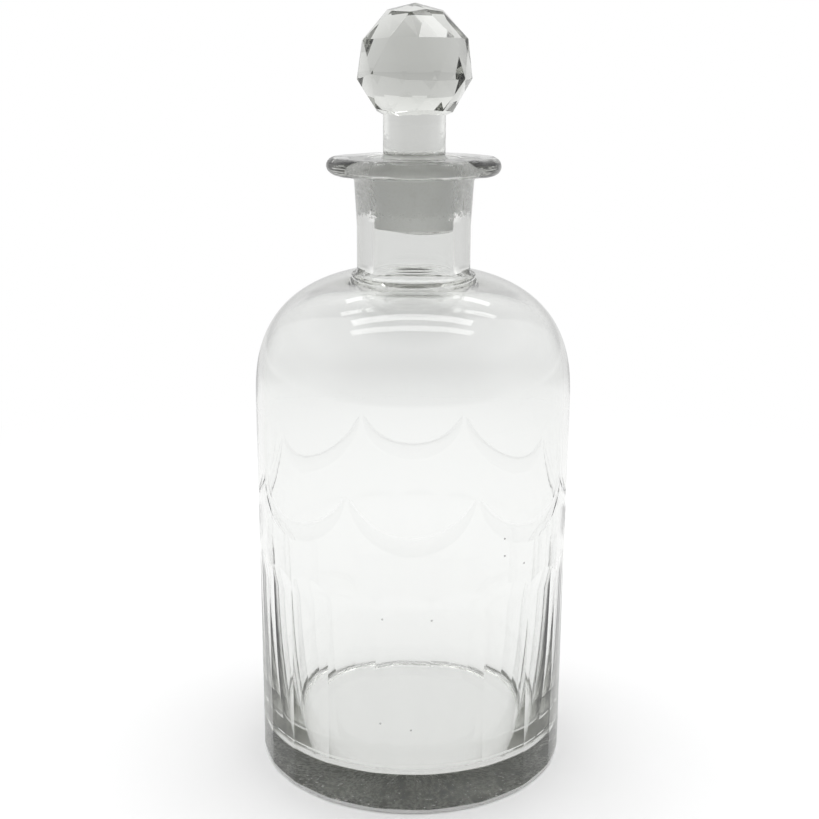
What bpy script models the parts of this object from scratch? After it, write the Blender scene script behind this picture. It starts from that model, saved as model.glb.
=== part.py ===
"""Glass decanter with a cut ball stopper, in metres, +Z up.

The origin is the middle of the base's underside, on the surface that the decanter stands on.
Azimuths are measured round +Z from the front, which is -Y, towards +X.
Two pieces of glass: the bottle, blown, fluted and engraved, and the stopper, ground into its neck.
"""

from math import asin, cos, pi, radians, sin, sqrt

import bmesh
import bpy

MM = 0.001

# Bottle: body and shoulder
BODY_RADIUS = 58.3 * MM
SHOULDER_START = 140.5 * MM  # height at which the straight wall ends
SHOULDER_RISE = 48.0 * MM
SHOULDER_FULLNESS = 2.58  # 2 is an ellipse, more is squarer
BASE_THICKNESS = 9.2 * MM
BASE_EDGE_INSET = 1.2 * MM
BASE_EDGE_HEIGHT = 3.5 * MM
FLOOR_FILLET = 10.0 * MM
WALL_AT_BASE = 8.6 * MM
WALL_AT_SHOULDER = 2.4 * MM
WALL_THINNING = 4.5  # 1 thins the wall evenly up to the shoulder, more thins it sooner
SHOULDER_ROOF = 3.0 * MM  # glass over the cavity, beside the neck

# Bottle: neck and lip
NECK_HEIGHT = 39.5 * MM  # from the shoulder's top to the lip's top
BOTTLE_HEIGHT = SHOULDER_START + SHOULDER_RISE + NECK_HEIGHT
NECK_RADIUS = 20.6 * MM
NECK_TOP_RADIUS = 21.5 * MM
NECK_STRAIGHT_HEIGHT = 17.0 * MM  # above the shoulder, before the neck widens
NECK_FOOT_FILLET = 1.6 * MM
NECK_BORE_RADIUS = 16.0 * MM
BORE_FOOT_ROUNDING = 5.5 * MM  # where the bore opens into the shoulder
LIP_RADIUS = 31.25 * MM
LIP_THICKNESS = 6.2 * MM
LIP_FILLET = 2.6 * MM
MOUTH_ROUNDING = 0.8 * MM
SEAT_DEPTH = 22.0 * MM  # ground part of the bore, down from the lip
SEAT_RUNOUT = 1.6 * MM

# Cut decoration on the body
FLUTE_COUNT = 20
FLUTE_HEIGHT = 87.0 * MM  # top of each flute's arch
FLUTE_EXTRA_DEPTH = 0.15 * MM  # past the depth at which neighbouring flats just meet
FLUTE_WHEEL_RADIUS = 60.0 * MM
FLUTE_TURN = radians(7.2)  # azimuth of one ridge between flutes
SWAG_COUNT = 8
SWAG_TIP_HEIGHT = 116.5 * MM
SWAG_DROP = 15.0 * MM  # from the tips to the middle line's lowest point
SWAG_WIDTH = 7.2 * MM
SWAG_DEPTH = 0.35 * MM
SWAG_CREST = 0.9 * MM  # how far the cutting form stands out of the wall
SWAG_SPAN_SHARE = 0.97  # of its own share of the girth

# Stopper
SEAT_GAP = 0.3 * MM
PLUG_INSET = 1.0 * MM  # plug's top edge below the lip
PLUG_LENGTH = 24.5 * MM
PLUG_TOP_RADIUS = 16.0 * MM
PLUG_TIP_RADIUS = 14.1 * MM
PLUG_ROUNDING = 0.7 * MM
STEM_RADIUS = 11.15 * MM
STEM_FLARE = 2.2 * MM
STEM_RISE = 13.8 * MM  # from the lip to the ball
BALL_RADIUS = 21.0 * MM
FACETS_ROUND = 10
FACET_ROWS = 5
FACET_TOP_LATITUDE = radians(62)
FACET_ROW_STEP = radians(35)
FACET_TURN = radians(-13)

# How finely round forms are drawn
TURN_STEPS = 80
SHOULDER_STEPS = 11
WALL_STEPS = 5
ARC_STEPS = 5
LIP_STEPS = 8
FILLET_STEPS = 3
STEM_STEPS = 40
WHEEL_STEPS = 6
SWAG_STEPS_LONG = 18
SWAG_STEPS_ROUND = 12
OVERRUN = 5.0 * MM  # how far cutting forms reach past the glass

CLEAR_GLASS = (0.93, 0.95, 0.93, 1.0)
GROUND_GLASS = (0.88, 0.89, 0.88, 1.0)


def empty_scene():
    for item in list(bpy.data.objects):
        bpy.data.objects.remove(item, do_unlink=True)


def new_collection(name):
    group = bpy.data.collections.new(name)
    bpy.context.scene.collection.children.link(group)
    return group


def new_object(name, mesh, group):
    item = bpy.data.objects.new(name, mesh)
    group.objects.link(item)
    return item


def glass(name, colour, roughness):
    material = bpy.data.materials.new(name)
    material.use_nodes = True
    shader = material.node_tree.nodes["Principled BSDF"]
    shader.inputs["Base Color"].default_value = colour
    shader.inputs["Roughness"].default_value = roughness
    shader.inputs["Metallic"].default_value = 0.0
    shader.inputs["Transmission Weight"].default_value = 1.0
    return material


def arc(centre_radius, centre_height, width, height, start, end, steps):
    """Points on an ellipse's arc; angle 0 points outwards and a quarter turn points up."""
    angles = [start + (end - start) * step / steps for step in range(steps + 1)]
    return [(centre_radius + width * cos(a), centre_height + height * sin(a)) for a in angles]


def shoulder_curve(foot_radius, rise, neck_radius, steps):
    """The shoulder's curve, from the neck out and down to the straight wall."""
    power = 2 / SHOULDER_FULLNESS
    neck_angle = pi / 2 - asin((neck_radius / foot_radius) ** (1 / power))
    angles = [neck_angle * (steps - step) / steps for step in range(steps + 1)]
    return [(foot_radius * cos(a) ** power, SHOULDER_START + rise * sin(a) ** power) for a in angles]


def plug_radius(height):
    """The plug's ground taper, which the seat in the neck follows."""
    top = BOTTLE_HEIGHT - PLUG_INSET
    slope = (PLUG_TOP_RADIUS - PLUG_TIP_RADIUS) / PLUG_LENGTH
    return PLUG_TOP_RADIUS - slope * (top - height)


def turned(name, outline, steps, group, smooth=True):
    """A body of revolution round Z from an outline of (radius, height) points."""
    mesh = bpy.data.meshes.new(name)
    points = [(radius, 0, height) for radius, height in outline]
    mesh.from_pydata(points, [(i, i + 1) for i in range(len(points) - 1)], [])
    item = new_object(name, mesh, group)
    screw = item.modifiers.new("turn", "SCREW")
    screw.steps = steps
    screw.render_steps = steps
    screw.use_merge_vertices = True
    screw.merge_threshold = MM / 100
    screw.use_smooth_shade = smooth
    return item


def as_guide(item):
    item.hide_render = True
    item.display_type = "WIRE"


def combine(item, other, operation):
    modifier = item.modifiers.new(other.name, "BOOLEAN")
    modifier.operation = operation
    modifier.object = other
    as_guide(other)


def inner_wall():
    """The wall's inner side, from the floor's fillet up to the shoulder: thick glass low down, as blown."""
    foot = BASE_THICKNESS + FLOOR_FILLET
    points = []
    for step in range(1, WALL_STEPS):
        share = (step / WALL_STEPS) ** 2
        thickness = WALL_AT_SHOULDER + (WALL_AT_BASE - WALL_AT_SHOULDER) * (1 - share) ** WALL_THINNING
        points.append((BODY_RADIUS - thickness, foot + (SHOULDER_START - foot) * share))
    return points


def cavity_outline():
    """The inside of the bottle, from the middle of the floor up to the mouth."""
    wall_radius = BODY_RADIUS - WALL_AT_BASE
    fillet_centre = wall_radius - FLOOR_FILLET
    floor = arc(fillet_centre, BASE_THICKNESS + FLOOR_FILLET, FLOOR_FILLET, FLOOR_FILLET, -pi / 2, 0, ARC_STEPS)
    inner_radius = BODY_RADIUS - WALL_AT_SHOULDER
    roof_radius = NECK_BORE_RADIUS + BORE_FOOT_ROUNDING
    roof = shoulder_curve(inner_radius, SHOULDER_RISE - SHOULDER_ROOF, roof_radius, SHOULDER_STEPS)
    bore_foot = arc(
        roof_radius, roof[0][1] + BORE_FOOT_ROUNDING,
        BORE_FOOT_ROUNDING, BORE_FOOT_ROUNDING, -pi / 2, -pi, FILLET_STEPS,
    )
    seat_foot = BOTTLE_HEIGHT - SEAT_DEPTH
    seat = [(NECK_BORE_RADIUS, seat_foot - SEAT_RUNOUT), (plug_radius(seat_foot) + SEAT_GAP, seat_foot)]
    mouth_radius = plug_radius(BOTTLE_HEIGHT) + SEAT_GAP
    mouth = arc(
        mouth_radius + MOUTH_ROUNDING, BOTTLE_HEIGHT - MOUTH_ROUNDING,
        MOUTH_ROUNDING, MOUTH_ROUNDING, pi, pi / 2, FILLET_STEPS,
    )
    return [(0, BASE_THICKNESS)] + floor + inner_wall() + roof[::-1] + bore_foot[1:] + seat + mouth


def outside_outline():
    """The outside of the bottle, from the lip's edge down to the middle of the underside."""
    half = LIP_THICKNESS / 2
    lip = arc(LIP_RADIUS - half, BOTTLE_HEIGHT - half, half, half, pi / 2, -pi / 2, LIP_STEPS)
    lip_underside = BOTTLE_HEIGHT - LIP_THICKNESS
    under_lip = arc(
        NECK_TOP_RADIUS + LIP_FILLET, lip_underside - LIP_FILLET,
        LIP_FILLET, LIP_FILLET, pi / 2, pi, FILLET_STEPS,
    )
    shoulder = shoulder_curve(BODY_RADIUS, SHOULDER_RISE, NECK_RADIUS + NECK_FOOT_FILLET, SHOULDER_STEPS)
    neck_foot = shoulder[0][1]
    foot = arc(
        NECK_RADIUS + NECK_FOOT_FILLET, neck_foot + NECK_FOOT_FILLET,
        NECK_FOOT_FILLET, NECK_FOOT_FILLET, pi, pi * 3 / 2, FILLET_STEPS,
    )
    waist = [(NECK_RADIUS, neck_foot + NECK_STRAIGHT_HEIGHT)]
    base_edge = arc(
        BODY_RADIUS - BASE_EDGE_INSET, BASE_EDGE_HEIGHT,
        BASE_EDGE_INSET, BASE_EDGE_HEIGHT, 0, -pi / 2, FILLET_STEPS,
    )
    return lip + under_lip + waist + foot + shoulder[1:] + base_edge + [(0, 0)]


def flute_form(group):
    """A prism with one side for each flute. Its sides bend out where the cutting wheel ran out."""
    half_side = pi / FLUTE_COUNT
    flat = BODY_RADIUS * cos(half_side) - FLUTE_EXTRA_DEPTH
    runout = sqrt(FLUTE_WHEEL_RADIUS**2 - (FLUTE_WHEEL_RADIUS - (BODY_RADIUS - flat)) ** 2)
    reach = FLUTE_WHEEL_RADIUS / 2
    foot = FLUTE_HEIGHT - runout
    rises = [reach * (step / WHEEL_STEPS) ** 2 for step in range(WHEEL_STEPS, -1, -1)]
    bend = [
        (flat + FLUTE_WHEEL_RADIUS - sqrt(FLUTE_WHEEL_RADIUS**2 - rise**2), foot + rise) for rise in rises
    ]
    top = BOTTLE_HEIGHT + OVERRUN
    outline = [(0, top), (bend[0][0], top)] + bend + [(flat, -OVERRUN), (0, -OVERRUN)]
    corners = [(radius / cos(half_side), height) for radius, height in outline]
    form = turned("flute_form", corners, FLUTE_COUNT, group, smooth=False)
    form.rotation_euler.z = FLUTE_TURN - pi / 2
    return form


def swag_form(group):
    """The cutting forms of the engraved swags: tapered spindles, bent to an arc and laid on the wall."""
    half_span = BODY_RADIUS * SWAG_SPAN_SHARE * pi / SWAG_COUNT
    bend_radius = (half_span**2 + SWAG_DROP**2) / (2 * SWAG_DROP)
    bend_centre = SWAG_TIP_HEIGHT - SWAG_DROP + bend_radius
    half_turn = asin(half_span / bend_radius)
    form_depth = SWAG_DEPTH + SWAG_CREST
    groove_share = sqrt(1 - (SWAG_CREST / form_depth) ** 2)
    form = bmesh.new()
    for copy in range(SWAG_COUNT):
        made = bmesh.ops.create_uvsphere(
            form, u_segments=SWAG_STEPS_ROUND, v_segments=SWAG_STEPS_LONG, radius=1
        )
        for vertex in made["verts"]:
            along = vertex.co.z
            taper = sqrt(max(0, 1 - along**2))
            across = vertex.co.x * taper * SWAG_WIDTH / 2 / groove_share
            outward = SWAG_CREST * taper**2 + vertex.co.y * taper * form_depth
            turn = along * half_turn
            sideways = (bend_radius + across) * sin(turn)
            azimuth = sideways / BODY_RADIUS + copy * 2 * pi / SWAG_COUNT
            radius = BODY_RADIUS + outward
            height = bend_centre - (bend_radius + across) * cos(turn)
            vertex.co = (radius * sin(azimuth), -radius * cos(azimuth), height)
    bmesh.ops.recalc_face_normals(form, faces=form.faces)
    mesh = bpy.data.meshes.new("swag_form")
    form.to_mesh(mesh)
    form.free()
    return new_object("swag_form", mesh, group)


def make_bottle(group, guides):
    bottle = turned("bottle", cavity_outline() + outside_outline(), TURN_STEPS, group)
    bottle.rotation_euler.z = FLUTE_TURN
    combine(bottle, flute_form(guides), "INTERSECT")
    combine(bottle, swag_form(guides), "DIFFERENCE")
    bottle.data.materials.append(glass("bottle_glass", CLEAR_GLASS, 0.02))
    return bottle


def ball_form(centre, group):
    """The ball's cut facets: rows of corners on a sphere, each row turned half a facet from the last."""
    form = bmesh.new()
    bmesh.ops.create_vert(form, co=(0, 0, centre + BALL_RADIUS))
    for row in range(FACET_ROWS):
        latitude = FACET_TOP_LATITUDE - row * FACET_ROW_STEP
        for corner in range(FACETS_ROUND):
            azimuth = FACET_TURN + 2 * pi / FACETS_ROUND * (corner + row / 2)
            radius = BALL_RADIUS * cos(latitude)
            height = centre + BALL_RADIUS * sin(latitude)
            bmesh.ops.create_vert(form, co=(radius * sin(azimuth), -radius * cos(azimuth), height))
    bmesh.ops.convex_hull(form, input=form.verts)
    bmesh.ops.recalc_face_normals(form, faces=form.faces)
    mesh = bpy.data.meshes.new("ball_form")
    form.to_mesh(mesh)
    form.free()
    return new_object("ball_form", mesh, group)


def stopper_outline(ball_centre):
    """The stem and the ground plug, from inside the ball down to the middle of the plug's end."""
    plug_top = BOTTLE_HEIGHT - PLUG_INSET
    plug_end = plug_top - PLUG_LENGTH
    flare = arc(
        STEM_RADIUS + STEM_FLARE, plug_top + STEM_FLARE, STEM_FLARE, STEM_FLARE, pi, pi * 3 / 2, FILLET_STEPS
    )
    top_radius = plug_radius(plug_top - PLUG_ROUNDING)
    shoulder = arc(
        top_radius - PLUG_ROUNDING, plug_top - PLUG_ROUNDING,
        PLUG_ROUNDING, PLUG_ROUNDING, pi / 2, 0, FILLET_STEPS,
    )
    end_radius = plug_radius(plug_end + PLUG_ROUNDING)
    end = arc(
        end_radius - PLUG_ROUNDING, plug_end + PLUG_ROUNDING,
        PLUG_ROUNDING, PLUG_ROUNDING, 0, -pi / 2, FILLET_STEPS,
    )
    return [(0, ball_centre), (STEM_RADIUS, ball_centre)] + flare + shoulder + end + [(0, plug_end)]


def make_stopper(group, guides):
    ball_centre = BOTTLE_HEIGHT + STEM_RISE + sqrt(BALL_RADIUS**2 - STEM_RADIUS**2)
    stopper = turned("stopper", stopper_outline(ball_centre), STEM_STEPS, group)
    combine(stopper, ball_form(ball_centre, guides), "UNION")
    stopper.data.materials.append(glass("stopper_glass", GROUND_GLASS, 0.05))
    return stopper


def main():
    empty_scene()
    decanter = new_collection("decanter")
    guides = new_collection("cutting_forms")
    make_bottle(decanter, guides)
    make_stopper(decanter, guides)


main()
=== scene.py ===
import random
from math import asin, cos, pi, radians, sin, sqrt, tan

import bmesh
import bpy
from mathutils import Euler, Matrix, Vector, noise


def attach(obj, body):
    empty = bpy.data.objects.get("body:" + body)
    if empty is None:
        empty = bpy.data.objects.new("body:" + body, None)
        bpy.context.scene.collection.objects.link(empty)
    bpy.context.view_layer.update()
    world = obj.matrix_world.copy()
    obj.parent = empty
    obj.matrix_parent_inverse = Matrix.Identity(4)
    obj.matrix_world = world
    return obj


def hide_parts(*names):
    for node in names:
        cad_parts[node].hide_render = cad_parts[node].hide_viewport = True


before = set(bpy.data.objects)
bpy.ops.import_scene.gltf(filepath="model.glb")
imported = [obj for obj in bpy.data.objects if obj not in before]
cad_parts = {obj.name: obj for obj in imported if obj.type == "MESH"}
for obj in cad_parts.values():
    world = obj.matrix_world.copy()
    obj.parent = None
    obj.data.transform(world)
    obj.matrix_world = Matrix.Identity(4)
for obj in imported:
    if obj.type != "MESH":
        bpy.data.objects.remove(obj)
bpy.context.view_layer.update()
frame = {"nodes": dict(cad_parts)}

mm = 0.001
print("frame loaded:", ", ".join(frame["nodes"]))


# shader maths as plain expressions
class Wire:
    def __init__(self, sheet, socket):
        self.sheet, self.socket = sheet, socket

    def maths(self, operation, *values):
        sockets = dict(enumerate((self, *values)))
        return self.sheet.node("ShaderNodeMath", {"operation": operation}, sockets)

    def __add__(self, other):
        return self.maths("ADD", other)

    def __radd__(self, other):
        return self.maths("ADD", other)

    def __mul__(self, other):
        return self.maths("MULTIPLY", other)

    def __rmul__(self, other):
        return self.maths("MULTIPLY", other)

    def __sub__(self, other):
        return self.maths("SUBTRACT", other)

    def __rsub__(self, other):
        return (self * -1) + other

    def __truediv__(self, other):
        return self.maths("DIVIDE", other)

    def __pow__(self, other):
        return self.maths("POWER", other)

    def __gt__(self, other):
        return self.maths("GREATER_THAN", other)

    def __lt__(self, other):
        return self.maths("LESS_THAN", other)

    def rise(self, low, high):  # 0 below low, 1 above high, smooth between
        return self.sheet.node(
            "ShaderNodeMapRange", {"interpolation_type": "SMOOTHSTEP"},
            {"Value": self, "From Min": low, "From Max": high},
        )

    def fall(self, low, high):
        return 1 - self.rise(low, high)


class Sheet:
    def __init__(self, tree):
        self.tree = tree
        tree.nodes.clear()

    def node(self, kind, settings=None, sockets=None, output=0):
        made = self.tree.nodes.new(kind)
        for name, value in (settings or {}).items():
            setattr(made, name, value)
        for name, value in (sockets or {}).items():
            if isinstance(value, Wire):
                self.tree.links.new(value.socket, made.inputs[name])
            else:
                made.inputs[name].default_value = value
        return Wire(self, made.outputs[output]) if made.outputs else None

    def place(self):
        return self.node("ShaderNodeTexCoord", output="Object")

    def split(self, vector):
        parts = self.node("ShaderNodeSeparateXYZ", sockets={0: vector}).socket.node
        return [Wire(self, parts.outputs[axis]) for axis in range(3)]

    def rays(self, *names):
        path = self.node("ShaderNodeLightPath").socket.node
        return [Wire(self, path.outputs[name]) for name in names]

    def grain(self, place, scale, detail=2.0, rough=0.5):
        return self.node(
            "ShaderNodeTexNoise", {"noise_dimensions": "3D"},
            {"Vector": place, "Scale": scale, "Detail": detail, "Roughness": rough},
        )

    def mixShaders(self, share, first, second):
        return self.node("ShaderNodeMixShader", sockets={0: share, 1: first, 2: second})

    def finish(self, surface, volume=None):
        sockets = {"Surface": surface}
        if volume:
            sockets["Volume"] = volume
        self.node("ShaderNodeOutputMaterial", sockets=sockets)


def newMaterial(name):
    material = bpy.data.materials.new(name)
    material.use_nodes = True
    return material, Sheet(material.node_tree)


# camera at the photograph's viewpoint
cameraView = {
    "lens": 56.7,  # on a 36 mm sensor
    "distance": 468 * mm,
    "height": 256.6 * mm,
    "tilt": 14.58,
    "yaw": 0.15,
    "roll": 0.3,
}


def makeCamera():
    data = bpy.data.cameras.new("camera")
    data.lens = cameraView["lens"]
    data.clip_start = 10 * mm
    data.clip_end = 100
    camera = bpy.data.objects.new("camera", data)
    camera.location = (0, -cameraView["distance"], cameraView["height"])
    look = Euler((radians(90 - cameraView["tilt"]), 0, radians(cameraView["yaw"]))).to_matrix()
    roll = Euler((0, 0, radians(cameraView["roll"]))).to_matrix()
    camera.rotation_euler = (look @ roll).to_euler()
    bpy.context.scene.collection.objects.link(camera)
    bpy.context.scene.camera = camera


# mesh helpers
def arc(radius, height, width, rise, start, end, steps):
    turns = [start + (end - start) * step / steps for step in range(steps + 1)]
    return [(radius + width * cos(turn), height + rise * sin(turn)) for turn in turns]


def spunMesh(outline, steps):
    form = bmesh.new()
    verts = [form.verts.new((radius, 0, height)) for radius, height in outline]
    edges = [form.edges.new(pair) for pair in zip(verts, verts[1:])]
    bmesh.ops.spin(form, geom=verts + edges, axis=(0, 0, 1), angle=2 * pi, steps=steps, use_merge=True)
    bmesh.ops.remove_doubles(form, verts=form.verts, dist=0.002 * mm)
    bmesh.ops.recalc_face_normals(form, faces=form.faces)
    return form


def newObject(name, form):
    mesh = bpy.data.meshes.new(name)
    form.to_mesh(mesh)
    form.free()
    made = bpy.data.objects.new(name, mesh)
    bpy.context.scene.collection.objects.link(made)
    return made


def cut(target, tool, operation):
    modifier = target.modifiers.new("cut", "BOOLEAN")
    modifier.object = tool
    modifier.operation = operation
    result = bpy.data.meshes.new_from_object(
        target.evaluated_get(bpy.context.evaluated_depsgraph_get())
    )
    target.modifiers.clear()
    target.data = result
    bpy.data.objects.remove(tool)


def shadeByAngle(piece, angle):
    piece.data.shade_smooth()
    piece.data.set_sharp_from_angle(angle=radians(angle))


# the bottle
bottle = {
    "radius": 58.25 * mm,
    "shoulderStart": 140.5 * mm,
    "shoulderRise": 48 * mm,
    "shoulderFullness": 2.58,
    "baseThickness": 9.6 * mm,
    "floorTilt": 0.05,  # the floor inside stands a little higher at the front
    "tiltFade": 50 * mm,
    "edgeInset": 2.0 * mm,
    "edgeHeight": 2.4 * mm,
    "floorFillet": 5.5 * mm,
    "wallAtBase": 7.0 * mm,
    "wallAtShoulder": 2.4 * mm,
    "wallThinning": 4.5,  # 1 thins evenly up to the shoulder, more thins it lower down
    "frontThinning": 9.0,  # the blown wall thins sooner at the front
    "frontFocus": 4,
    "wallSteps": 40,
    "boreFoot": 7.3 * mm,  # rounding where the bore opens into the shoulder
    "roof": 4.6 * mm,
    "roofFullness": 2.75,  # flatter inside than outside, so the glass thickens towards the neck
    "height": 228 * mm,
    "neckRadius": 20.6 * mm,
    "neckTopRadius": 21.5 * mm,
    "neckStraight": 17 * mm,
    "neckFootFillet": 2.1 * mm,
    "boreRadius": 14.66 * mm,
    "lipRadius": 31.25 * mm,
    "lipThickness": 6.2 * mm,
    "lipFillet": 2.6 * mm,
    "mouthRounding": 0.8 * mm,
    "seatDepth": 22 * mm,
    "seatRunout": 1.6 * mm,
    "groundDepth": 19.5 * mm,  # the grinding stops a little above the foot of the seat
    "lipWave": 0.35 * mm,
    "lipWaveLength": 7.5 * mm,
    "lipSeed": 7,  # without it the noise vector follows the clock
    "sharpAngle": 4,  # faces that meet at more than this stay crisp, degrees
    "turnSteps": 360,
}


def plugRadius(height):
    top = bottle["height"] - stopper["plugInset"]
    slope = (stopper["plugTopRadius"] - stopper["plugTipRadius"]) / stopper["plugLength"]
    return stopper["plugTopRadius"] - slope * (top - height)


def shoulderCurve(footRadius, rise, neckRadius, fullness, steps=48):
    power = 2 / fullness
    neckAngle = pi / 2 - asin((neckRadius / footRadius) ** (1 / power))
    turns = [neckAngle * (steps - step) / steps for step in range(steps + 1)]
    return [
        (footRadius * cos(turn) ** power, bottle["shoulderStart"] + rise * sin(turn) ** power)
        for turn in turns
    ]


def wallThickness(share, thinning):
    b = bottle
    return b["wallAtShoulder"] + (b["wallAtBase"] - b["wallAtShoulder"]) * (1 - share) ** thinning


def cavityOutline():
    b = bottle
    wall = b["radius"] - b["wallAtBase"]
    fillet = b["floorFillet"]
    floor = arc(wall - fillet, b["baseThickness"] + fillet, fillet, fillet, -pi / 2, 0, steps=16)
    wallFoot = b["baseThickness"] + fillet
    side = []
    for step in range(1, b["wallSteps"]):
        share = step / b["wallSteps"]
        thickness = wallThickness(share, b["wallThinning"])
        side.append((b["radius"] - thickness, wallFoot + (b["shoulderStart"] - wallFoot) * share))
    foot = b["boreFoot"]
    roof = shoulderCurve(
        b["radius"] - b["wallAtShoulder"], b["shoulderRise"] - b["roof"], b["boreRadius"] + foot,
        b["roofFullness"],
    )
    roofTop = roof[0][1]
    boreFoot = arc(b["boreRadius"] + foot, roofTop + foot, foot, foot, -pi / 2, -pi, steps=10)
    seatFoot = b["height"] - b["seatDepth"]
    seat = boreFoot + [
        (b["boreRadius"], seatFoot - b["seatRunout"]),
        (plugRadius(seatFoot) + stopper["seatGap"], seatFoot),
    ]
    rounding = b["mouthRounding"]
    mouth = arc(
        plugRadius(b["height"]) + stopper["seatGap"] + rounding, b["height"] - rounding,
        rounding, rounding, pi, pi / 2, steps=8,
    )
    return [(0, b["baseThickness"])] + floor + side + roof[::-1] + seat[1:] + mouth


def outsideOutline():
    b = bottle
    half = b["lipThickness"] / 2
    lip = arc(b["lipRadius"] - half, b["height"] - half, half, half, pi / 2, -pi / 2, steps=28)
    fillet = b["lipFillet"]
    underLip = arc(
        b["neckTopRadius"] + fillet, b["height"] - b["lipThickness"] - fillet,
        fillet, fillet, pi / 2, pi, steps=10,
    )
    foot = b["neckFootFillet"]
    shoulder = shoulderCurve(
        b["radius"], b["shoulderRise"], b["neckRadius"] + foot, b["shoulderFullness"]
    )
    neckFoot = shoulder[0][1]
    footArc = arc(b["neckRadius"] + foot, neckFoot + foot, foot, foot, pi, pi * 3 / 2, steps=8)
    waist = [(b["neckRadius"], neckFoot + b["neckStraight"])]
    edge = arc(
        b["radius"] - b["edgeInset"], b["edgeHeight"],
        b["edgeInset"], b["edgeHeight"], 0, -pi / 2, steps=10,
    )
    return lip + underLip + waist + footArc + shoulder[1:] + edge + [(0, 0)]


flutes = {
    "count": 20,
    "height": 87 * mm,
    "extraDepth": 0.15 * mm,
    "bulge": 0.33 * mm,  # the cut panels are slightly convex
    "panelSteps": 6,
    "wheelRadius": 60 * mm,
    "turn": 8.0,  # azimuth of one ridge, degrees
    "wander": 2.5,  # how far hand spacing strays, degrees
    "wanderTurn": -50.0,
    "wheelSteps": 24,
    "overrun": 5 * mm,  # the tool reaches this far past the bottle's ends
}


def fluteTool():
    halfSide = pi / flutes["count"]
    wheel = flutes["wheelRadius"]
    flat = bottle["radius"] * cos(halfSide) - flutes["extraDepth"]
    runout = sqrt(wheel**2 - (wheel - (bottle["radius"] - flat)) ** 2)
    foot = flutes["height"] - runout
    shares = [step / flutes["wheelSteps"] for step in range(flutes["wheelSteps"], -1, -1)]
    rises = [wheel / 2 * share**2 for share in shares]
    bend = [(flat + wheel - sqrt(wheel**2 - rise**2), foot + rise) for rise in rises]
    over = flutes["overrun"]
    top = bottle["height"] + over
    outline = [(0, top), (bend[0][0], top)] + bend + [(flat, -over), (0, -over)]
    form = spunMesh(outline, flutes["count"] * flutes["panelSteps"])
    for vert in form.verts:
        radius = vert.co.xy.length
        if radius < mm:
            continue
        around = vert.co.xy.angle_signed(Vector((0, -1)), 0)
        fromMiddle = (around + halfSide) % (2 * halfSide) - halfSide
        crown = flutes["bulge"] * (1 - (tan(fromMiddle) / tan(halfSide)) ** 2)
        radius = (radius + crown) / cos(fromMiddle)
        azimuth = around + radians(flutes["turn"]) + halfSide
        azimuth += radians(flutes["wander"]) * sin(2 * azimuth + radians(flutes["wanderTurn"]))
        vert.co = (radius * sin(azimuth), -radius * cos(azimuth), vert.co.z)
    bmesh.ops.recalc_face_normals(form, faces=form.faces)
    return newObject("fluteTool", form)


swags = {
    "count": 8,
    "tipHeight": 116.5 * mm,
    "drop": 15 * mm,
    "width": 7.2 * mm,
    "depth": 0.2 * mm,
    "crest": 0.9 * mm,
    "spanShare": 0.97,
    "stepsLong": 72,
    "stepsRound": 40,
    "reach": 1 * mm,  # the painted shade and painted highlight along a swag are only this deep in the outside
    # painted shade along each swag's groove and a painted highlight along its upper edge
    "shade": 0.026,
    "shadeBand": (-0.8, 0.9),
    "paintedHighlight": 0.14,
    "paintedHighlightBand": (-1.05, -0.8),
    "bandSoftness": 0.15,
}


def swagBend():
    s = swags
    halfSpan = bottle["radius"] * s["spanShare"] * pi / s["count"]
    bendRadius = (halfSpan**2 + s["drop"] ** 2) / (2 * s["drop"])
    return halfSpan, bendRadius, s["tipHeight"] - s["drop"] + bendRadius


def swagTool():
    s = swags
    halfSpan, bendRadius, bendCentre = swagBend()
    halfTurn = asin(halfSpan / bendRadius)
    depth = s["depth"] + s["crest"]
    grooveShare = sqrt(1 - (s["crest"] / depth) ** 2)
    form = bmesh.new()
    for copy in range(s["count"]):
        made = bmesh.ops.create_uvsphere(
            form, u_segments=s["stepsRound"], v_segments=s["stepsLong"], radius=1
        )
        for vert in made["verts"]:
            along = vert.co.z
            taper = sqrt(max(0, 1 - along**2))
            across = vert.co.x * taper * s["width"] / 2 / grooveShare
            outward = s["crest"] * taper**2 + vert.co.y * taper * depth
            turn = along * halfTurn
            azimuth = (bendRadius + across) * sin(turn) / bottle["radius"] + copy * 2 * pi / s["count"]
            radius = bottle["radius"] + outward
            height = bendCentre - (bendRadius + across) * cos(turn)
            vert.co = (radius * sin(azimuth), -radius * cos(azimuth), height)
    bmesh.ops.recalc_face_normals(form, faces=form.faces)
    return newObject("swagTool", form)


seeds = {
    "radius": 0.35 * mm,
    "depth": 1.7 * mm,
    "places": [  # azimuth in degrees, height
        (-10.2, 74.7 * mm), (7.0, 74.6 * mm), (-10.9, 35.1 * mm), (0.0, 33.0 * mm),
        (34.0, 101.2 * mm), (34.2, 94.9 * mm), (43.4, 90.1 * mm),
    ],
}


def blowSeeds(piece):  # the small air bubbles left in the wall
    form = bmesh.new()
    form.from_mesh(piece.data)
    radius = bottle["radius"] - seeds["depth"]
    for azimuth, height in seeds["places"]:
        turn = radians(azimuth)
        bubble = bmesh.ops.create_icosphere(form, subdivisions=2, radius=seeds["radius"])["verts"]
        bmesh.ops.translate(form, verts=bubble, vec=(radius * sin(turn), -radius * cos(turn), height))
        faces = list({face for vert in bubble for face in vert.link_faces})
        bmesh.ops.reverse_faces(form, faces=faces)  # the glass is outside, the air inside
    form.to_mesh(piece.data)
    form.free()


def pressLip(spot):  # the hot lip was pressed by hand
    b = bottle
    overhang = spot.xy.length - b["neckTopRadius"]
    if overhang > 0 and spot.z > b["height"] - b["lipThickness"] - b["lipFillet"]:
        reach = min(1, overhang / b["lipFillet"])
        spot += noise.noise_vector(spot / b["lipWaveLength"]) * b["lipWave"] * reach


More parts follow.
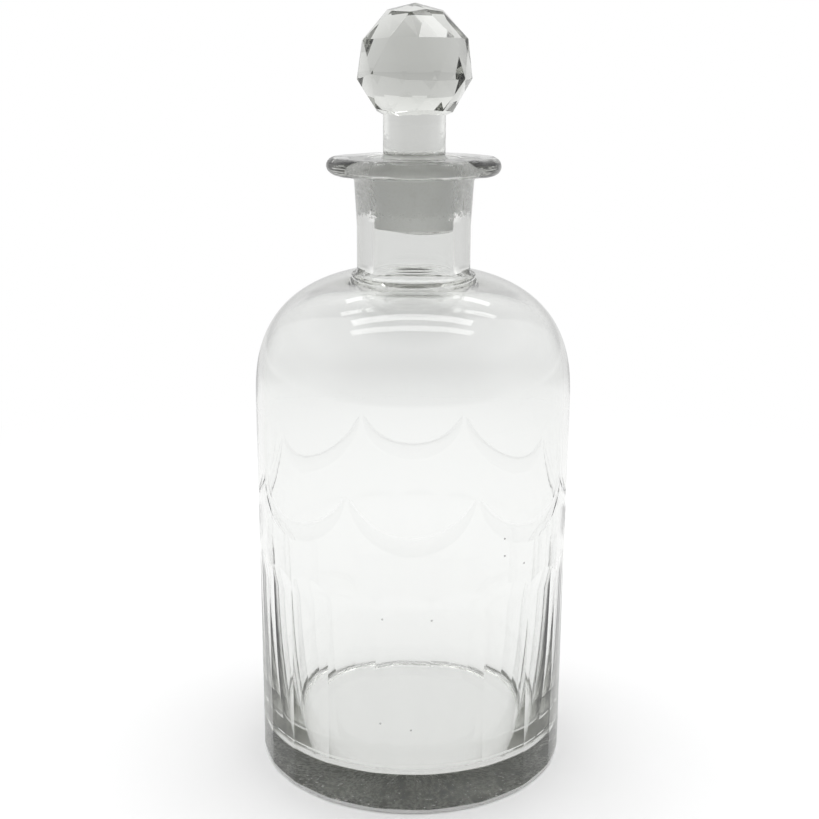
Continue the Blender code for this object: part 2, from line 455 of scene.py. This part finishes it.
def shapeCavity(spot):  # the wall inside is thinner at the front and the floor leans
    b = bottle
    radius = spot.xy.length
    if radius >= b["radius"] - b["wallAtShoulder"] / 2 or spot.z < b["baseThickness"] / 2:
        return
    wallFoot = b["baseThickness"] + b["floorFillet"]
    share = (spot.z - wallFoot) / (b["shoulderStart"] - wallFoot)
    if 0 < share < 1:
        front = max(0, -spot.y / radius) ** b["frontFocus"]
        thinning = b["wallThinning"] + (b["frontThinning"] - b["wallThinning"]) * front
        spot.xy *= (b["radius"] - wallThickness(share, thinning)) / radius
    fade = 1 - (spot.z - b["baseThickness"]) / b["tiltFade"]
    if fade > 0:
        spot.z -= spot.y * b["floorTilt"] * fade


def makeBottle():
    form = spunMesh(cavityOutline() + outsideOutline(), bottle["turnSteps"])
    noise.seed_set(bottle["lipSeed"])
    for vert in form.verts:
        pressLip(vert.co)
        shapeCavity(vert.co)
    piece = newObject("bottleGlass", form)
    cut(piece, fluteTool(), "INTERSECT")
    cut(piece, swagTool(), "DIFFERENCE")
    blowSeeds(piece)
    shadeByAngle(piece, bottle["sharpAngle"])
    piece.data.materials.clear()
    piece.data.materials.append(bottleMaterial())
    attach(piece, "bottle")
    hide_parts("bottle")
    print("bottle made:", len(piece.data.polygons), "faces")


# the stopper
stopper = {
    "seatGap": 0.3 * mm,
    "plugInset": 1 * mm,
    "plugLength": 24.5 * mm,
    "plugTopRadius": 16 * mm,
    "plugTipRadius": 14.1 * mm,
    "plugRounding": 0.7 * mm,
    "endTilt": 0.045,  # the plug's end was nipped off a little askew
    "endWave": 0.35 * mm,
    "endWaveTurn": 4,  # from the middle to the side, radians
    "endWaveStart": 1,
    "stemRadius": 11.15 * mm,
    "stemFlare": 2.2 * mm,
    "stemRise": 13.8 * mm,
    "ballRadius": 21 * mm,
    "facetsRound": 10,
    "facetRows": 5,
    "facetTopLatitude": 59.6,  # latitudes and turns in degrees
    "facetRowStep": 35.3,
    "facetTurn": -11.7,
    "facetStray": 3.2,  # how far a hand-cut corner strays, degrees
    "facetSeed": 165,
    "facetEdge": 0.12 * mm,
    "sharpAngle": 12,
    "turnSteps": 180,
}


def ballTool(centre):
    s = stopper
    form = bmesh.new()
    bmesh.ops.create_vert(form, co=(0, 0, centre + s["ballRadius"]))
    stray = random.Random(s["facetSeed"])
    for row in range(s["facetRows"]):
        for corner in range(s["facetsRound"]):
            latitude = s["facetTopLatitude"] - row * s["facetRowStep"]
            latitude = radians(latitude + stray.uniform(-1, 1) * s["facetStray"])
            azimuth = s["facetTurn"] + 360 / s["facetsRound"] * (corner + row / 2)
            azimuth = radians(azimuth + stray.uniform(-1, 1) * s["facetStray"])
            radius = s["ballRadius"] * cos(latitude)
            height = centre + s["ballRadius"] * sin(latitude)
            bmesh.ops.create_vert(form, co=(radius * sin(azimuth), -radius * cos(azimuth), height))
    bmesh.ops.convex_hull(form, input=form.verts)
    bmesh.ops.bevel(
        form, geom=form.edges, offset=s["facetEdge"], segments=1, profile=0.5,
        affect="EDGES", material=-1,
    )
    bmesh.ops.recalc_face_normals(form, faces=form.faces)
    return newObject("ballTool", form)


def stopperOutline(ballCentre):
    s = stopper
    top = bottle["height"] - s["plugInset"]
    end = top - s["plugLength"]
    flare, rounding = s["stemFlare"], s["plugRounding"]
    foot = arc(s["stemRadius"] + flare, top + flare, flare, flare, pi, pi * 3 / 2, steps=10)
    topRadius = plugRadius(top - rounding)
    shoulder = arc(topRadius - rounding, top - rounding, rounding, rounding, pi / 2, 0, steps=6)
    endRadius = plugRadius(end + rounding)
    tip = arc(endRadius - rounding, end + rounding, rounding, rounding, 0, -pi / 2, steps=6)
    return [(0, ballCentre), (s["stemRadius"], ballCentre)] + foot + shoulder + tip + [(0, end)]


def makeStopper():
    s = stopper
    ballCentre = bottle["height"] + s["stemRise"] + sqrt(s["ballRadius"] ** 2 - s["stemRadius"] ** 2)
    form = spunMesh(stopperOutline(ballCentre), s["turnSteps"])
    for vert in form.verts:
        down = max(0, (bottle["height"] - s["plugInset"] - vert.co.z) / s["plugLength"])
        turn = s["endWaveTurn"] * vert.co.x / s["plugTipRadius"] + s["endWaveStart"]
        vert.co.z -= down**3 * (s["endTilt"] * vert.co.x + sin(turn) * s["endWave"])
    piece = newObject("stopperGlass", form)
    cut(piece, ballTool(ballCentre), "UNION")
    shadeByAngle(piece, s["sharpAngle"])
    piece.data.materials.clear()
    piece.data.materials.append(stopperMaterial())
    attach(piece, "stopper")
    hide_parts("stopper")
    print("stopper made:", len(piece.data.polygons), "faces")


# glass
glass = {
    "tint": (0.985, 0.99, 0.985, 1),
    "ior": 1.52,
    "depthColour": (0.70, 0.705, 0.68, 1),
    "depthDensity": 40.0,
    "fineGrain": 900.0,
    "roughFloor": 0.85,  # the fine grain makes a rough face uneven
    "roughSpread": 0.3,
    "slowWaves": 45.0,  # hand-shaped glass is never quite flat
    "quickWaves": 210.0,
    "quickWaveShare": 0.06,
    "waveDepth": 0.3 * mm,
}

ground = {  # the wheel-ground faces of the joint
    "roughness": 0.55,
    "colour": (0.86, 0.86, 0.83, 1),
    "grain": 1000.0,
    "grainEdges": (0.5, 0.66),
    "haze": 0.02,
    "grainHaze": 0.22,
}

seatLook = {
    "radius": 17.5 * mm,  # nothing further out is ground
    "stray": 6 * mm,  # how far the foot of the grinding strays
    "softness": 1.5 * mm,
    "topEdges": (1.4 * mm, 0.8 * mm),  # below the rim
    "grit": 0.4,
    "gritDepth": 0.3 * mm,
    "waves": 0.12,
}

plugLook = {
    "footEdges": (0.5 * mm, 0.9 * mm),  # above the plug's end
    "topEdge": 0.6 * mm,
    "stemEdges": (1 * mm, 3 * mm),  # above the plug
    "stemTopEdge": 1 * mm,
    "stemRipples": 620.0,
    "ripple": 0.35,
    "rippleDepth": 0.12 * mm,
    "waves": 0.05,
}

wear = {  # the scuffed underside, with painted shade where it is seen at a grazing angle, and a pale band round the bottom edge
    "height": 0.05 * mm,  # what lies lower is the underside
    "roughness": 0.12,
    # a near-black tone, partly scuffing and partly painted shade for the shadowed band seen through the
    # base
    "darkWearAndShade": (0.06, 0.06, 0.055, 1),
    "grey": (0.42, 0.43, 0.4, 1),
    # pale chip spots, the pale band round the bottom edge and the swags' painted highlight
    "chipAndHighlightColour": (0.95, 0.95, 0.95, 1),
    "roundScale": 0.05,
    "radialScale": 0.65,  # scuffs are longer along the radius than round it
    "patchGrain": 170.0,
    "patchEdges": (0.52, 0.62),
    "patchCover": 0.8,
    "speckleGrain": 800.0,
    "speckleEdges": (0.4, 0.6),
    "chipGrain": 700.0,
    "chipEdges": (0.75, 0.78),
    "share": 0.02,
    "grazingShadeShare": 0.68,
    "grazingEdges": (0.5, 0.66),
    "rimHeights": (0.1 * mm, 1.8 * mm, 2.2 * mm),
    "rimShare": 0.4,
}


def glassSurface(sheet, rough, fine, normal):
    return sheet.node("ShaderNodeBsdfPrincipled", {"distribution": "MULTI_GGX"}, {
        "Base Color": glass["tint"],
        "Transmission Weight": 1.0,
        "IOR": glass["ior"],
        "Roughness": rough * (glass["roughFloor"] + fine * glass["roughSpread"]),
        "Normal": normal,
    })


def glassDepth(sheet):
    return sheet.node("ShaderNodeVolumeAbsorption", sockets={
        "Color": glass["depthColour"], "Density": glass["depthDensity"],
    })


def groundGlass(sheet, place, share, surface):  # a wheel-ground face scatters what passes through it
    pale = sheet.node("ShaderNodeBsdfTranslucent", sockets={"Color": ground["colour"]})
    grains = sheet.grain(place, ground["grain"]).rise(*ground["grainEdges"])
    return sheet.mixShaders(share * (ground["haze"] + grains * ground["grainHaze"]), surface, pale)


def handWaves(sheet, place, strength):
    wave = sheet.grain(place, glass["slowWaves"], 1.0)
    wave = wave + sheet.grain(place, glass["quickWaves"], 1.0) * glass["quickWaveShare"]
    return sheet.node("ShaderNodeBump", sockets={
        "Strength": strength, "Distance": glass["waveDepth"], "Height": wave,
    })


def seatMask(sheet, place, radius, z):
    s = seatLook
    foot = bottle["height"] - bottle["groundDepth"]
    ragged = z + sheet.grain(place, glass["fineGrain"], 1.0) * s["stray"] - s["stray"] / 2
    below, above = s["topEdges"]
    mask = (radius < s["radius"]) * ragged.rise(foot - s["softness"], foot + s["softness"])
    return mask * z.fall(bottle["height"] - below, bottle["height"] - above)


# the mottled scuffs and pale chip spots are wear; the near-black tone beneath them is partly painted
# shade
def wornAndShadedGlass(sheet, x, y, radius, darkWearAndShade, chipsAndHighlight):
    w = wear
    grey = sheet.node("ShaderNodeBsdfDiffuse", sockets={"Color": w["grey"]})
    scuffs = sheet.node("ShaderNodeCombineXYZ", sockets={
        "X": x / radius * w["roundScale"],
        "Y": y / radius * w["roundScale"],
        "Z": radius * w["radialScale"],
    })
    patches = sheet.grain(scuffs, w["patchGrain"]).rise(*w["patchEdges"])
    speckle = sheet.grain(scuffs, w["speckleGrain"], 3.0, 0.65).rise(*w["speckleEdges"])
    wornAndShaded = sheet.mixShaders(speckle * (1 - patches * w["patchCover"]), darkWearAndShade, grey)
    chipped = sheet.grain(scuffs, w["chipGrain"], 0.0).rise(*w["chipEdges"])
    return sheet.mixShaders(chipped, wornAndShaded, chipsAndHighlight)


def paintedSwagBand(x, y, z, band):  # 1 in a band along each swag, where -1 is its upper edge and 1 its lower; it places the painted shade and painted highlight of the swags
    s = swags
    low, high = band
    soft = s["bandSoftness"]
    halfSpan, bendRadius, bendCentre = swagBend()
    halfTurn = pi / s["count"]
    along = x.maths("ARCTAN2", y * -1).maths("WRAP", halfTurn, -halfTurn) * bottle["radius"]
    below = bendCentre - z
    taper = (1 - along * along / halfSpan**2).maths("MAXIMUM", 0.0001) ** 0.5  # never quite 0
    across = ((along * along + below * below) ** 0.5 - bendRadius) / (taper * s["width"] / 2)
    return (below > 0.0) * across.rise(low - soft, low + soft) * across.fall(high - soft, high + soft)


def bottleMaterial():
    material, sheet = newMaterial("bottle glass")
    place = sheet.place()
    x, y, z = sheet.split(place)
    radius = (x * x + y * y) ** 0.5
    fine = sheet.grain(place, glass["fineGrain"], 3.0)
    seat = seatMask(sheet, place, radius, z)
    underside = z < wear["height"]
    grit = sheet.node("ShaderNodeBump", sockets={
        "Strength": seatLook["grit"], "Distance": seatLook["gritDepth"], "Height": seat * fine,
        "Normal": handWaves(sheet, place, seatLook["waves"]),
    })
    rough = seat * ground["roughness"] + underside * wear["roughness"]
    surface = groundGlass(sheet, place, seat, glassSurface(sheet, rough, fine, grit))
    chipsAndHighlight = sheet.node("ShaderNodeBsdfDiffuse", sockets={"Color": wear["chipAndHighlightColour"]})
    darkWearAndShade = sheet.node("ShaderNodeBsdfDiffuse", sockets={"Color": wear["darkWearAndShade"]})
    wornAndShaded = wornAndShadedGlass(sheet, x, y, radius, darkWearAndShade, chipsAndHighlight)
    # painted shade: the underside turns near-black where it is seen at a grazing angle
    facing = sheet.node("ShaderNodeLayerWeight", sockets={"Blend": 0.5}, output="Facing")
    grazing = facing.rise(*wear["grazingEdges"])
    wornAndShadedShare = underside * (wear["share"] + grazing * wear["grazingShadeShare"])
    surface = sheet.mixShaders(wornAndShadedShare, surface, wornAndShaded)
    # a pale band round the rounding of the bottom edge
    rimFoot, rimFade, rimTop = wear["rimHeights"]
    rim = z.fall(rimFade, rimTop) * (z > rimFoot) * (radius > bottle["radius"] - bottle["edgeInset"])
    surface = sheet.mixShaders(rim * wear["rimShare"], surface, chipsAndHighlight)
    # painted shade along each swag's groove and a painted highlight along its upper edge, in the
    # outside only
    outside = radius > bottle["radius"] - swags["reach"]
    shade = paintedSwagBand(x, y, z, swags["shadeBand"]) * outside * swags["shade"]
    surface = sheet.mixShaders(shade, surface, darkWearAndShade)
    paintedHighlight = paintedSwagBand(x, y, z, swags["paintedHighlightBand"]) * outside * swags["paintedHighlight"]
    surface = sheet.mixShaders(paintedHighlight, surface, chipsAndHighlight)
    sheet.finish(surface, glassDepth(sheet))
    return material


def stopperMaterial():
    material, sheet = newMaterial("stopper glass")
    place = sheet.place()
    z = sheet.split(place)[2]
    s = plugLook
    fine = sheet.grain(place, glass["fineGrain"], 3.0)
    top = bottle["height"] - stopper["plugInset"]
    end = top - stopper["plugLength"]
    stemTop = top + stopper["stemRise"]
    footLow, footHigh = s["footEdges"]
    stemLow, stemHigh = s["stemEdges"]
    plug = z.rise(end + footLow, end + footHigh) * z.fall(top - s["topEdge"], top)
    stem = z.rise(top + stemLow, top + stemHigh) * z.fall(stemTop - s["stemTopEdge"], stemTop)
    ripple = sheet.node("ShaderNodeBump", sockets={
        "Strength": s["ripple"], "Distance": s["rippleDepth"],
        "Height": stem * sheet.grain(place, s["stemRipples"], 1.0) + plug * fine,
        "Normal": handWaves(sheet, place, s["waves"]),
    })
    surface = glassSurface(sheet, plug * ground["roughness"], fine, ripple)
    sheet.finish(groundGlass(sheet, place, plug, surface), glassDepth(sheet))
    return material


# studio: floor, room and lamps
floorLook = {
    "radius": 3.0,
    "drop": 0.15 * mm,
    "colour": (0.88, 0.88, 0.88, 1),
    "glow": 1.01,  # what the glass shows of the floor is mostly this, so that it stays free of shadow
    "glowShare": 0.85,
    "fade": (0.25, 0.55),  # the lit floor gives way to plain paper this far out, in metres
    "nearPaper": 0.98,
    "farPaper": 0.79,
    "paperFade": (0.42, 0.75),
}

room = {  # brightness by direction: each band as from, to and how much it adds
    "wall": 0.68,
    "overHorizon": (0.05, 0.3, 0.2),
    "higher": (0.3, 0.6, 0.35),
    "sides": (0.3, 0.8, 0.3),
    "underHorizon": (-0.03, 0.0, 0.11),
    "behindCamera": 0.42,
    "turn": (-1.0, -0.1),
    "overhead": (0.86, 0.97, 0.85),  # takes away
    "plainLight": 1.09,
}

panelHeight = 1.3
panelsOver = 0.17  # the height of the shoulder, which mirrors them
panels = [  # name, two corners at a height of 1, power
    ("panelTop", (-0.58, -0.02), (0.55, 0.13), 12.0),
    ("panelBackLeft", (-0.50, 0.66), (-0.20, 0.82), 8.0),
    ("panelBackRight", (0.18, 0.67), (0.60, 0.84), 8.0),
]


def makeFloor():
    f = floorLook
    form = bmesh.new()
    bmesh.ops.create_circle(form, cap_ends=True, segments=96, radius=f["radius"])
    bmesh.ops.translate(form, verts=form.verts, vec=(0, 0, -f["drop"]))
    floor = newObject("floor", form)
    material, sheet = newMaterial("paper floor")
    x, y = sheet.split(sheet.place())[:2]
    far = ((x * x + y * y) ** 0.5).rise(*f["fade"])
    seen, through, bounced = sheet.rays("Is Camera Ray", "Is Transmission Ray", "Diffuse Depth")
    lit = sheet.node("ShaderNodeBsdfDiffuse", sockets={"Color": f["colour"]})
    glow = sheet.node("ShaderNodeEmission", sockets={"Strength": f["glow"]})
    lit = sheet.mixShaders(through * (bounced < 0.5) * f["glowShare"], lit, glow)
    white = sheet.node("ShaderNodeEmission", sockets={"Color": (1, 1, 1, 1), "Strength": 1.0})
    farPaper = sheet.node("ShaderNodeEmission", sockets={"Strength": f["farPaper"]})
    nearPaper = sheet.node("ShaderNodeEmission", sockets={"Strength": f["nearPaper"]})
    paper = sheet.mixShaders(y.fall(*f["paperFade"]), farPaper, nearPaper)
    sheet.finish(sheet.mixShaders(far, lit, sheet.mixShaders(seen, paper, white)))
    floor.data.materials.append(material)


def ramp(direction, low, high, gain):
    return direction.rise(low, high) * gain


def makeRoom():
    r = room
    world = bpy.data.worlds.new("room")
    bpy.context.scene.world = world
    world.use_nodes = True
    sheet = Sheet(world.node_tree)
    x, y, z = sheet.split(sheet.node("ShaderNodeTexCoord", output="Generated"))
    seen, glossy, through, bounced = sheet.rays(
        "Is Camera Ray", "Is Glossy Ray", "Is Transmission Ray", "Diffuse Depth"
    )
    wall = r["wall"] + ramp(z, *r["overHorizon"]) + ramp(z, *r["higher"]) + ramp(x * x, *r["sides"])
    low, high, gain = r["underHorizon"]
    wall = wall + z.fall(low, high) * gain
    ahead = y.rise(*r["turn"])
    look = (ahead * wall + (1 - ahead) * r["behindCamera"]) * (1 - ramp(z, *r["overhead"]))
    mirrored = (glossy + through).maths("MINIMUM", 1.0)
    mirrored = mirrored * (bounced < 0.5)  # paper and ground faces are lit by plain light instead
    strength = seen + (1 - seen) * (mirrored * look + (1 - mirrored) * r["plainLight"])
    light = sheet.node("ShaderNodeBackground", sockets={"Color": (1, 1, 1, 1), "Strength": strength})
    sheet.node("ShaderNodeOutputWorld", sockets={"Surface": light})


def makePanel(name, low, high, power):
    height = panelHeight
    data = bpy.data.lights.new(name, "AREA")
    data.shape = "RECTANGLE"
    data.size = (high[0] - low[0]) * height
    data.size_y = (high[1] - low[1]) * height
    data.energy = power * data.size * data.size_y
    lamp = bpy.data.objects.new(name, data)
    middle = [(low[axis] + high[axis]) / 2 * height for axis in range(2)]
    lamp.location = (*middle, height + panelsOver)
    bpy.context.scene.collection.objects.link(lamp)


makeCamera()
makeBottle()
makeStopper()
makeFloor()
makeRoom()
for panel in panels:
    makePanel(*panel)
print("studio made:", len(panels), "panels")

scene = bpy.context.scene
scene.view_settings.view_transform = "Standard"
scene.cycles.max_bounces = 24
scene.cycles.transmission_bounces = 20
scene.cycles.glossy_bounces = 12

print("ready")
